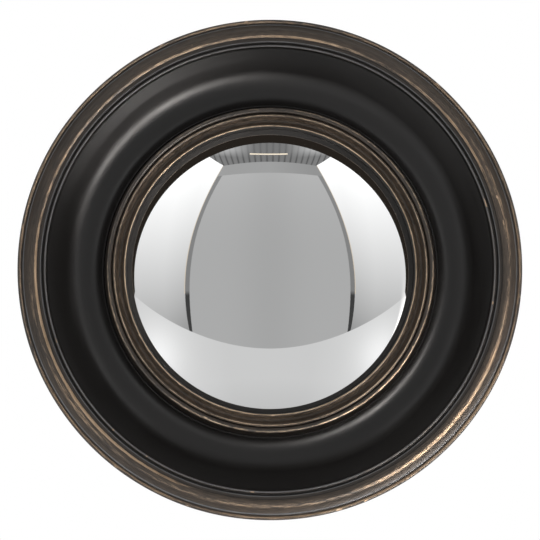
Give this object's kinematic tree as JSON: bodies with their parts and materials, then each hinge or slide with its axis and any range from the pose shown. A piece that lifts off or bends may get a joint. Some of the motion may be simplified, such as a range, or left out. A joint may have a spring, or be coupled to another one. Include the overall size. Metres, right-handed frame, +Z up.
{
  "type": "convex butlers mirror",
  "caption": "Round domed wall mirror in a dark turned frame: rubbed gilt rim bead, deep black cove, raised sight ring, back board under turn buttons, D-ring hanger.",
  "frame": {"origin": "the point where the mirror hangs on its hook: inside the top of the standing D-ring, in the middle of its width", "axes": "+Y towards the wall, parallel to the frame's turning axis, so the mirror faces -Y; +Z up, towards the D-ring hanger; +X to the right as seen from in front"},
  "size_m": [0.38, 0.0585, 0.3799],
  "materials": {
    "black_frame": "black satin lacquer, dark brown wax and rubbed gilt on the rim",
    "gilt_slip": "dark brown wax over rubbed gilt",
    "silvered_glass": "polished, silvered behind",
    "packing_card": "pressed grey card",
    "board_brown": "raw brown fibre board",
    "zinc_steel": "bright zinc plate",
    "brassed_steel": "thin brass plate",
    "grey_rubber": "matt moulded"
  },
  "bodies": {
    "frame": {"frame_body": "black_frame", "sight_ring": "gilt_slip", "convex_glass": "silvered_glass", "packing_ring": "packing_card", "back_board": "board_brown", "sight_screw_1": "zinc_steel", "sight_screw_2": "zinc_steel", "sight_screw_3": "zinc_steel", "sight_screw_4": "zinc_steel", "pivot_screw_1": "zinc_steel", "pivot_screw_2": "zinc_steel", "pivot_screw_3": "zinc_steel", "pivot_screw_4": "zinc_steel", "hanger_strap": "zinc_steel", "hanger_screw_1": "zinc_steel", "hanger_screw_2": "zinc_steel", "wall_bumper_1": "grey_rubber", "wall_bumper_2": "grey_rubber", "wall_bumper_3": "grey_rubber", "wall_bumper_4": "grey_rubber"},
    "button_1": {"turn_button_1": "brassed_steel"},
    "button_2": {"turn_button_2": "brassed_steel"},
    "button_3": {"turn_button_3": "brassed_steel"},
    "button_4": {"turn_button_4": "brassed_steel"},
    "d_ring": {"hanger_ring": "zinc_steel"}
  },
  "joints": [
    {"name": "button_1_pivot", "type": "hinge", "parent": "frame", "child": "button_1", "pos_m": [0.09122, -0.00185, -0.0885], "axis": [0, 1, 0], "continuous": true},
    {"name": "button_2_pivot", "type": "hinge", "parent": "frame", "child": "button_2", "pos_m": [0.09122, -0.00185, -0.27093], "axis": [0, 1, 0], "continuous": true},
    {"name": "button_3_pivot", "type": "hinge", "parent": "frame", "child": "button_3", "pos_m": [-0.09122, -0.00185, -0.27093], "axis": [0, 1, 0], "continuous": true},
    {"name": "button_4_pivot", "type": "hinge", "parent": "frame", "child": "button_4", "pos_m": [-0.09122, -0.00185, -0.0885], "axis": [0, 1, 0], "continuous": true},
    {"name": "d_ring_swing", "type": "hinge", "parent": "frame", "child": "d_ring", "pos_m": [0, 0, -0.0177], "axis": [-1, 0, 0], "range_deg": [0, 165]}
  ]
}
